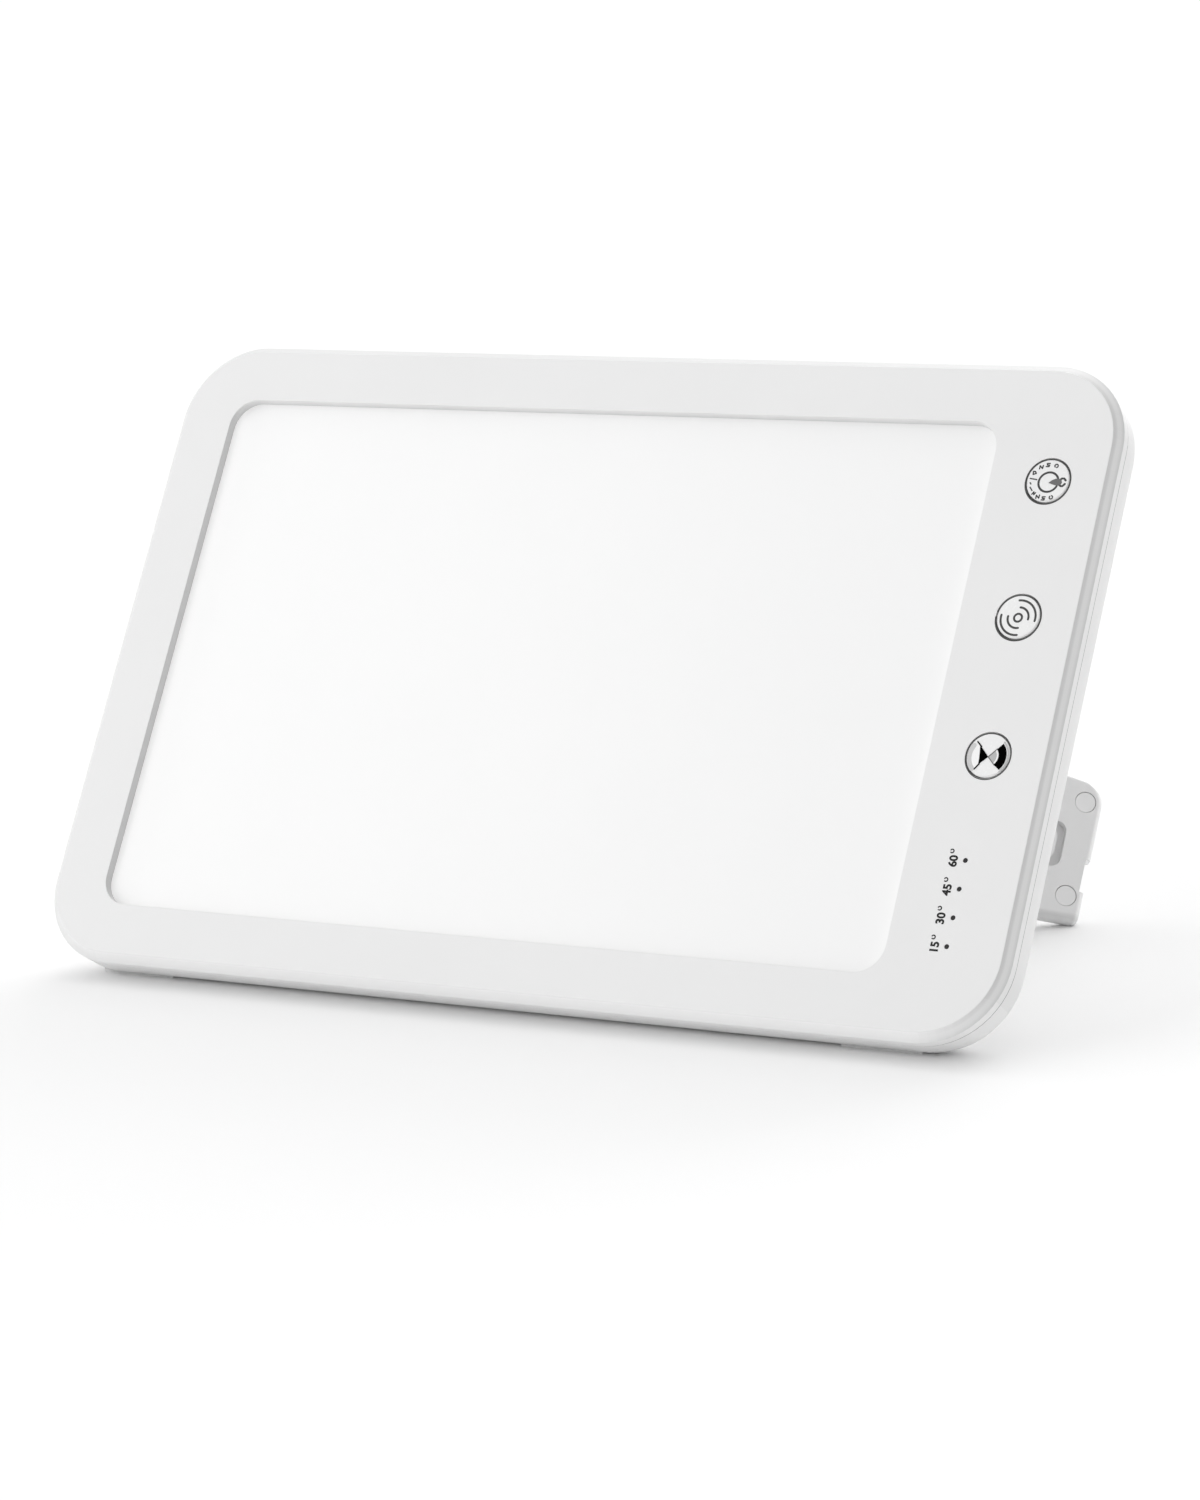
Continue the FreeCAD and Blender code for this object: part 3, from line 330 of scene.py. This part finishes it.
# painted shade on the top and left rims
UPPER_RIM_SHADE_STOPS = ((0.0, 1.0), (0.1, 0.79), (2.0, 0.8))
# painted light added on the lower rim
LOWER_RIM_LIGHT_STOPS = ((0.0, 0.0), (0.1, 0.1), (0.9, 0.05), (1.9, 0.0), (2.2, 0.08), (4.2, 0.1),
               (6.0, 0.08))
# painted shade on the window's left wall
LEFT_WALL_SHADE_STOPS = ((0.0, 1.0), (0.1, 0.68), (2.4, 0.68))
# painted shade on the window's top wall, darkest near the diffuser
TOP_WALL_SHADE_STOPS = ((0.0, 1.0), (0.1, 0.97), (1.0, 0.88), (2.4, 0.74), (6.0, 1.0))
# painted shade on the rear shell, darker further back
REAR_SHADE_STOPS = ((9.0, 1.0), (14.0, 0.9))
PLAIN_REAR_STOPS = ((0.0, 1.0), (20.0, 1.0))

# then against the place across the casing
# painted shade across the front face, darker towards the right
FACE_SHADE_STOPS = ((-125.0, 0.985), (-40.0, 0.98), (60.0, 0.965), (135.0, 0.945))
# glow of the lit panel, raised as painted light along its left edge beside the shaded window wall, and lower
# towards the right
PANEL_GLOW_AND_EDGE_LIGHT_STOPS = ((-106.0, 0.26), (-104.2, 0.29), (-103.2, 0.28), (-102.4, 0.23),
                    (-101.2, 0.18), (-99.0, 0.14), (0.0, 0.115), (105.0, 0.07))

# and the painted highlight and shade on the leg, against how far the surface faces its tip or down
LEG_ANGLE = math.radians(34)
LEG_ROLL_MM = 16.0
# painted highlight along the leg's rim
LEG_RIM_HIGHLIGHT_STOPS = ((0.0, 0.0), (0.15, 0.02), (0.5, 0.17), (1.0, 0.18))
# painted shade on the leg's lower rounding
LEG_LOW_SHADE_STOPS = ((0.0, 1.0), (0.1, 0.97), (0.3, 0.86), (0.5, 0.82), (0.75, 0.92), (1.0, 1.0))

MATERIALS = {
    "white_shell": moulded("white_shell", srgb(240), roughness=0.42, edge_mm=0.18),
    "opal_diffuser": opal("opal_diffuser"),
    "clear_plastic": clear("clear_plastic"),
    "white_film": moulded("white_film", srgb(242), roughness=0.5, grain_mm=0.8,
                          grain_depth_mm=0.001),
    "cap": moulded("cap", srgb(243), roughness=0.24, grain_mm=0.6, grain_depth_mm=0.001, coat=0.3),
    "aluminium": moulded("aluminium", srgb(200), roughness=0.35, metallic=1.0, grain_mm=0.3,
                         stretch=(0.05, 1, 1)),
    "circuit_board": moulded("circuit_board", (0.02, 0.11, 0.04, 1), roughness=0.32, grain_mm=0.7,
                             coat=0.4, variation=0.1),
    "white_board": moulded("white_board", srgb(238), roughness=0.35, grain_mm=0.7, coat=0.3),
    "led_yellow": moulded("led_yellow", (0.85, 0.62, 0.12, 1), roughness=0.4, grain_mm=0.2,
                          variation=0.08),
    "black_plastic": moulded("black_plastic", srgb(34), roughness=0.45, grain_mm=0.25,
                             variation=0.15),
    "steel": moulded("steel", srgb(168), roughness=0.3, metallic=1.0, grain_mm=0.15,
                     stretch=(1, 0.2, 1), variation=0.05),
    "white_paint": moulded("white_paint", srgb(240), roughness=0.4, grain_mm=0.25, edge_mm=0.1),
    "magnet": moulded("magnet", srgb(228), roughness=0.4, grain_mm=0.2, variation=0.03),
    "rubber_white": moulded("rubber_white", srgb(222), roughness=0.75, grain_mm=0.3,
                            grain_depth_mm=0.01),
    "wire": moulded("wire", (0.35, 0.02, 0.02, 1), roughness=0.4, grain_mm=0.5, variation=0.1),
    "copper": moulded("copper", (0.72, 0.42, 0.22, 1), roughness=0.25, metallic=1.0, grain_mm=0.2),
    "ferrite": moulded("ferrite", srgb(58), roughness=0.6, grain_mm=0.15, grain_depth_mm=0.02,
                       variation=0.12),
    "can": moulded("can", srgb(176), roughness=0.3, metallic=1.0, grain_mm=0.3, variation=0.04),
}
INK = moulded("ink", srgb(70), roughness=0.5, grain_mm=0.1, variation=0.06, shine=0.2)
INK_DARK = moulded("ink_dark", srgb(30), roughness=0.5, grain_mm=0.1, variation=0.1, shine=0.2)
INK_BLACK = moulded("ink_black", srgb(4), roughness=0.6, grain_mm=0.1, variation=0.2, shine=0.0)
INK_WHITE = moulded("ink_white", srgb(250), roughness=0.25, grain_mm=0.1, variation=0.01)
# grey for the timer's inner sand and for painted shade along its cap's right rim
INK_GREY = moulded("ink_grey", srgb(186), roughness=0.3, grain_mm=0.1, variation=0.02)
# lighter grey for painted shade along the timer cap's left rim
INK_SHADE = moulded("ink_shade", srgb(204), roughness=0.3, grain_mm=0.1, variation=0.02)
INK_MID = moulded("ink_mid", srgb(112), roughness=0.5, grain_mm=0.1, variation=0.05, shine=0.2)

OWN = {
    "front_bezel": casing_white("white_shell_front_painted_shading", RIGHT_RIM_SHADE_STOPS, PLAIN_REAR_STOPS),
    "rear_shell": casing_white("white_shell_rear_painted_shading", PLAIN_STOPS, REAR_SHADE_STOPS),
    "stand_leg": leg_white("white_leg_painted_shading"),
    "light_pipes": moulded("smoked_lens", srgb(22), roughness=0.25, grain_mm=0.2,
                           variation=0.1, shine=0.3),
}
SMOOTH_ANGLE = math.radians(28)
for entry in frame["record"]["subparts"]:
    node = NODES[entry["node"]]
    node.data.materials.clear()
    node.data.materials.append(OWN.get(entry["node"]) or MATERIALS[entry["material_slot"]])
    for polygon in node.data.polygons:
        polygon.use_smooth = True
        polygon.material_index = 0
    node.data.set_sharp_from_angle(angle=SMOOTH_ANGLE)

# ------------------------------------------------------------------ printed legends
PRINT_MM = 0.03
LINE_MM = 0.5
CAP_FACE_MM = -0.15
ARC_STEP = math.radians(6)
RING_STEPS = 72


def arc(radius, start, end, x=0.0, z=0.0):
    """Points of an arc, angles in degrees from the right, turning up."""
    a, b = math.radians(start), math.radians(end)
    count = max(2, int(abs(b - a) / ARC_STEP) + 1)
    turns = [a + (b - a) * i / (count - 1) for i in range(count)]
    return [(x + radius * math.cos(t), z + radius * math.sin(t)) for t in turns]


def band(line, width):
    """Outline of a line with a width, with round ends."""
    left, right = [], []
    for i, (x, z) in enumerate(line):
        x0, z0 = line[max(0, i - 1)]
        x1, z1 = line[min(len(line) - 1, i + 1)]
        length = math.hypot(x1 - x0, z1 - z0)
        nx, nz = -(z1 - z0) / length * width / 2, (x1 - x0) / length * width / 2
        left.append((x + nx, z + nz))
        right.append((x - nx, z - nz))
    (xs, zs), (xe, ze) = line[0], line[-1]
    turn_end = math.degrees(math.atan2(left[-1][1] - ze, left[-1][0] - xe))
    turn_start = math.degrees(math.atan2(right[0][1] - zs, right[0][0] - xs))
    cap_end = arc(width / 2, turn_end, turn_end - 180, xe, ze)[1:-1]
    cap_start = arc(width / 2, turn_start, turn_start - 180, xs, zs)[1:-1]
    return left + cap_end + right[::-1] + cap_start


def stamp(name, outlines, material, slot, body, x, z, face_mm, rings=()):
    """Thin raised print or painted shadow on the face, from closed outlines and round rings (radius, width)."""
    mesh = bmesh.new()
    for outline in outlines:
        low = [mesh.verts.new((px * MM, pz * MM, 0)) for px, pz in outline]
        high = [mesh.verts.new((px * MM, pz * MM, PRINT_MM * MM)) for px, pz in outline]
        mesh.faces.new(low[::-1])
        mesh.faces.new(high)
        for i in range(len(low)):
            j = (i + 1) % len(low)
            mesh.faces.new((low[i], low[j], high[j], high[i]))
    turns = [2 * math.pi * i / RING_STEPS for i in range(RING_STEPS)]
    for radius, width in rings:
        inner, outer = radius - width / 2, radius + width / 2
        loops = [[mesh.verts.new((r * MM * math.cos(t), r * MM * math.sin(t), h * MM))
                  for t in turns]
                 for r, h in ((inner, 0), (outer, 0), (outer, PRINT_MM), (inner, PRINT_MM))]
        for a in range(4):
            b = (a + 1) % 4
            for i in range(RING_STEPS):
                j = (i + 1) % RING_STEPS
                mesh.faces.new((loops[a][i], loops[b][i], loops[b][j], loops[a][j]))
    mesh.normal_update()
    bmesh.ops.triangulate(mesh, faces=mesh.faces[:])
    bmesh.ops.recalc_face_normals(mesh, faces=mesh.faces[:])
    data = bpy.data.meshes.new(name)
    mesh.to_mesh(data)
    mesh.free()
    data.transform(panel_matrix(x, z, face_mm))
    piece = bpy.data.objects.new(name, data)
    bpy.context.scene.collection.objects.link(piece)
    data.materials.append(material)
    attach(piece, body)
    return piece


def button_place(name):
    """Millimetres across and up to a button's middle."""
    away = middle("button_" + name) - WINDOW
    return away.dot(ACROSS) / MM, away.dot(UP) / MM


# painted shadow: dark rings laid at the mouths of the gaps round the buttons
GAP_R = 5.47
GAP_SHADOW_RINGS = {"power": (0.36, 0, 360), "brightness": (0.38, -180, 166), "timer": (0.24, 0, 360)}
for name, (width, start, end) in GAP_SHADOW_RINGS.items():
    whole = end - start == 360
    stamp("gap_shadow_ring_" + name, [] if whole else [band(arc(GAP_R, start, end), width)], INK,
          "black_plastic", "casing", *button_place(name), 0.0,
          rings=[(GAP_R, width)] if whole else [])

# power: an open dial, a forked pointer and small marks round them
MARKS = {
    71: "ring", 100: "hook", 123: "slant", 151: "loop", 172: "long", 188: "dot", 208: "bar",
    227: "pair", 247: "slant", 267: "hook", 293: "ring",
}
SHAPES = {
    "hook": [(0.4, 0.4), (-0.3, 0.35), (-0.2, 0.0), (0.35, -0.05), (0.25, -0.4), (-0.4, -0.4)],
    "slant": [(-0.4, -0.4), (-0.4, 0.35), (0.3, -0.3), (0.35, 0.45)],
    "loop": [(-0.4, 0.4), (-0.3, -0.4), (0.4, -0.1), (0.1, 0.35), (-0.4, 0.4)],
    "dot": [(-0.12, 0.15), (0.12, -0.15)],
    "bar": [(-0.35, 0.4), (0.3, -0.4)],
    "pair": [(-0.4, -0.2), (0.0, 0.4), (0.1, -0.3), (0.45, 0.2)],
}
MARK_R = 4.15
MARK_MM = 0.3
RING_MARK_R = 0.4
LONG_MARK = (2.8, 4.5)
DIAL = (0.2, -0.12)
DIAL_R = 2.4
x, z = button_place("power")
marks = []
for turn, shape in MARKS.items():
    a = math.radians(turn)
    px, pz = MARK_R * math.cos(a), MARK_R * math.sin(a)
    if shape == "ring":
        marks.append(band(arc(RING_MARK_R, turn - 150, turn + 150, px, pz), MARK_MM))
    elif shape == "long":
        marks.append(band([(r * math.cos(a), r * math.sin(a)) for r in LONG_MARK], MARK_MM))
    else:
        line = [(px + dx, pz + dz) for dx, dz in SHAPES[shape]]
        marks += [band(list(pair), MARK_MM) for pair in zip(line, line[1:])]
pointer = [(0.25, -0.3), (1.0, 0.35), (1.95, 0.78), (2.7, 0.78), (3.3, 0.5), (3.55, -0.1),
           (3.3, -0.75), (2.6, -0.9), (1.6, -0.75)]
prongs = [[(2.9, 0.5), (3.35, 0.88), (3.9, 0.9), (4.34, 0.45)],
          [(3.0, -0.7), (3.4, -1.0), (3.85, -0.98), (4.32, -0.42)]]
fork = [band(prong, LINE_MM) for prong in prongs]
stamp("legend_power_marks", marks, INK, "black_plastic", "power_button", x, z, CAP_FACE_MM)
stamp("legend_power", [band(arc(DIAL_R, 22, 338, *DIAL), LINE_MM)] + fork, INK, "black_plastic",
      "power_button", x, z, CAP_FACE_MM)
stamp("legend_power_pointer", [pointer], INK_MID, "black_plastic", "power_button", x, z,
      CAP_FACE_MM - PRINT_MM)

# brightness: a small ring with arcs (radius, start, end) to two sides
RAYS = ((2.52, -6, 88), (4.22, -8, 97), (2.5, 174, 282), (4.2, 173, 278))
SUN_R = 0.95
x, z = button_place("brightness")
stamp("legend_brightness", [band(arc(*ray), LINE_MM) for ray in RAYS], INK, "black_plastic",
      "brightness_button", x, z, CAP_FACE_MM, rings=[(SUN_R, LINE_MM)])

# timer: an hourglass lying on its side, with sand in both glasses, and painted shade in grey arcs near the cap's
# rim
WAIST = (0.15, -0.12)
DARK_EDGE_MM = 0.32
PALE_EDGE_MM = 0.22
SHADE_MM = 1.1
RIM_SHADE_MM = 0.36
x, z = button_place("timer")
left_glass = [WAIST] + arc(3.9, 135, 228)
right_glass = [WAIST] + arc(2.75, -43, 46)
inner_sand = [WAIST] + arc(2.15, -43, 46)
sand_left = [WAIST, (-2.35, 2.5), (-2.08, 0.4), (-1.95, -0.6), (-1.9, -2.1)]
sand_right = arc(4.5, -42, 45) + arc(2.6, 43, -46)
dark_edges = [band([(-3.15, 3.3), (-2.0, 2.2)], DARK_EDGE_MM),
              band([(-2.62, -3.2), (-1.7, -1.9)], DARK_EDGE_MM)]
pale_edges = [band([WAIST, corner], PALE_EDGE_MM) for corner in ((1.95, 1.85), (2.0, -2.0))]
# painted shade: grey arcs inside the cap's rim, on the left and on the right
shades = [band(arc(4.5, 148, 224), SHADE_MM)]
painted_rim_shades = [band(arc(4.87, -44, 47), RIM_SHADE_MM)]
for name, outlines, ink, slot, layer in (
    ("shade", shades, INK_SHADE, "cap", 0),
    ("rim_painted_shade", painted_rim_shades, INK_GREY, "cap", 0),
    ("glass", [left_glass, right_glass], INK_WHITE, "cap", 0),
    ("inner", [inner_sand], INK_GREY, "cap", 1),
    ("edge", pale_edges, INK_MID, "black_plastic", 2),
    ("sand", [sand_left, sand_right] + dark_edges, INK_BLACK, "black_plastic", 2),
):
    stamp("legend_timer_" + name, outlines, ink, slot, "timer_button", x, z,
          CAP_FACE_MM - layer * PRINT_MM)

# times beside the lights, read with the lamp standing tall
LIGHT_X = 119.6
LIGHT_TOP = -38.9
LIGHT_PITCH = 6.73
TEXT_MM = 2.75
TEXT_SWELL_MM = 0.1
TEXT_PLACE = (LIGHT_X - 2.0, -1.75)
RING_PLACE = (LIGHT_X - 3.65, 1.95)
RING_ARC = (0.42, -130, 150)
RING_MM = 0.28


def words(name, text, size, x, z):
    """Flat printed text that reads up the casing."""
    curve = bpy.data.curves.new(name, "FONT")
    curve.body = text
    curve.size = size * MM
    curve.extrude = PRINT_MM * MM / 2
    curve.offset = TEXT_SWELL_MM * MM
    curve.resolution_u = 4
    curve.materials.append(INK_DARK)
    label = bpy.data.objects.new(name, curve)
    bpy.context.scene.collection.objects.link(label)
    label.matrix_world = panel_matrix(x, z, -PRINT_MM / 2) @ Matrix.Rotation(math.pi / 2, 4, "Z")
    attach(label, "casing")


for i, minutes in enumerate((60, 45, 30, 15)):
    z = LIGHT_TOP - i * LIGHT_PITCH
    words("minutes_%d" % minutes, str(minutes), TEXT_MM, TEXT_PLACE[0], z + TEXT_PLACE[1])
    stamp("minutes_%d_mark" % minutes, [band(arc(*RING_ARC), RING_MM)], INK_DARK,
          "black_plastic", "casing", RING_PLACE[0], z + RING_PLACE[1], 0.0)

# ------------------------------------------------------------------ floor and backdrop
FLOOR_SIZE = 40.0
FLOOR_LIT = 0.82
FLOOR_SEEN = 0.935
WORLD_LIGHT = 0.565
WORLD_SEEN = 1.0


def any_ray(tree, *kinds):
    """1 for a ray of one of the kinds, else 0."""
    rays = tree.nodes.new("ShaderNodeLightPath")
    value = rays.outputs[kinds[0]]
    for kind in kinds[1:]:
        value = calc(tree, "MAXIMUM", value, rays.outputs[kind])
    return value


def floor():
    """Wide pale floor that shows the lamp's shadow and otherwise fades to white."""
    mesh = bpy.data.meshes.new("floor")
    h = FLOOR_SIZE / 2
    mesh.from_pydata([(-h, -h, 0), (h, -h, 0), (h, h, 0), (-h, h, 0)], [], [(0, 1, 2, 3)])
    piece = bpy.data.objects.new("floor", mesh)
    bpy.context.scene.collection.objects.link(piece)
    material, tree, shader = node_tree("floor")
    tree.nodes.remove(shader)
    mix = tree.nodes.new("ShaderNodeMixShader")
    tree.links.new(any_ray(tree, "Is Camera Ray", "Is Glossy Ray"), mix.inputs["Fac"])
    for slot, grey in ((1, FLOOR_LIT), (2, FLOOR_SEEN)):
        side = tree.nodes.new("ShaderNodeBsdfDiffuse")
        side.inputs["Color"].default_value = (grey, grey, grey, 1)
        tree.links.new(side.outputs["BSDF"], mix.inputs[slot])
    tree.links.new(mix.outputs["Shader"], tree.nodes["Material Output"].inputs["Surface"])
    mesh.materials.append(material)


def surround():
    """Even white studio, dimmer as a light than as what is seen or mirrored."""
    world = bpy.data.worlds.new("studio")
    bpy.context.scene.world = world
    world.use_nodes = True
    tree = world.node_tree
    background = tree.nodes["Background"]
    background.inputs["Color"].default_value = (1, 1, 1, 1)
    strength = tree.nodes.new("ShaderNodeMapRange")
    strength.inputs["To Min"].default_value = WORLD_LIGHT
    strength.inputs["To Max"].default_value = WORLD_SEEN
    seen = any_ray(tree, "Is Camera Ray", "Is Glossy Ray", "Is Transmission Ray")
    tree.links.new(seen, strength.inputs["Value"])
    tree.links.new(strength.outputs["Result"], background.inputs["Strength"])


floor()
surround()

LIGHT_SPREAD = 50


def soft_light(name, azimuth, elevation, strength):
    """Broad distant light. Azimuth 0 is in front of the lamp, and 90 to its right."""
    a, e = math.radians(azimuth), math.radians(elevation)
    away = Vector((math.sin(a) * math.cos(e), -math.cos(a) * math.cos(e), math.sin(e)))
    data = bpy.data.lights.new(name, "SUN")
    data.angle = math.radians(LIGHT_SPREAD)
    data.energy = strength
    lamp = bpy.data.objects.new(name, data)
    lamp.rotation_euler = away.to_track_quat("Z", "Y").to_euler()
    bpy.context.scene.collection.objects.link(lamp)


# azimuth, elevation and strength
LIGHTS = {
    "left_front": (-45, 20, 0.8),
    "left_low": (-90, 20, 0.452),
    "left_high": (-90, 50, 0.022),
    "left_back": (-135, 50, 0.373),
    "top": (0, 85, 0.222),
    "right_back": (135, 20, 0.219),
    "back_low": (180, 20, 0.895),
    "back_high": (180, 50, 0.523),
}
for name, (turn, height, power) in LIGHTS.items():
    soft_light(name, turn, height, power)

# ------------------------------------------------------------------ camera
# place and aim, each across, up and behind the window's middle, and the turn about the view
CAMERA_MM = (564.65, -337.65, -913.79)
AIM_MM = (21.77, -19.08, 0.0)
CAMERA_ROLL = math.radians(-2.877)
LENS_MM = 114.87
SENSOR_MM = 36.0
CLIP_M = 100.0

place = on_panel(*CAMERA_MM)
level = (place - on_panel(*AIM_MM)).to_track_quat("Z", "Y").to_matrix().to_4x4()
data = bpy.data.cameras.new("camera")
data.lens = LENS_MM
data.sensor_width = SENSOR_MM
data.sensor_fit = "AUTO"
data.clip_end = CLIP_M
camera = bpy.data.objects.new("camera", data)
roll = Matrix.Rotation(CAMERA_ROLL, 4, "Z")
camera.matrix_world = Matrix.Translation(place) @ level @ roll
bpy.context.scene.collection.objects.link(camera)
bpy.context.scene.camera = camera

bpy.context.scene.view_settings.view_transform = "Standard"
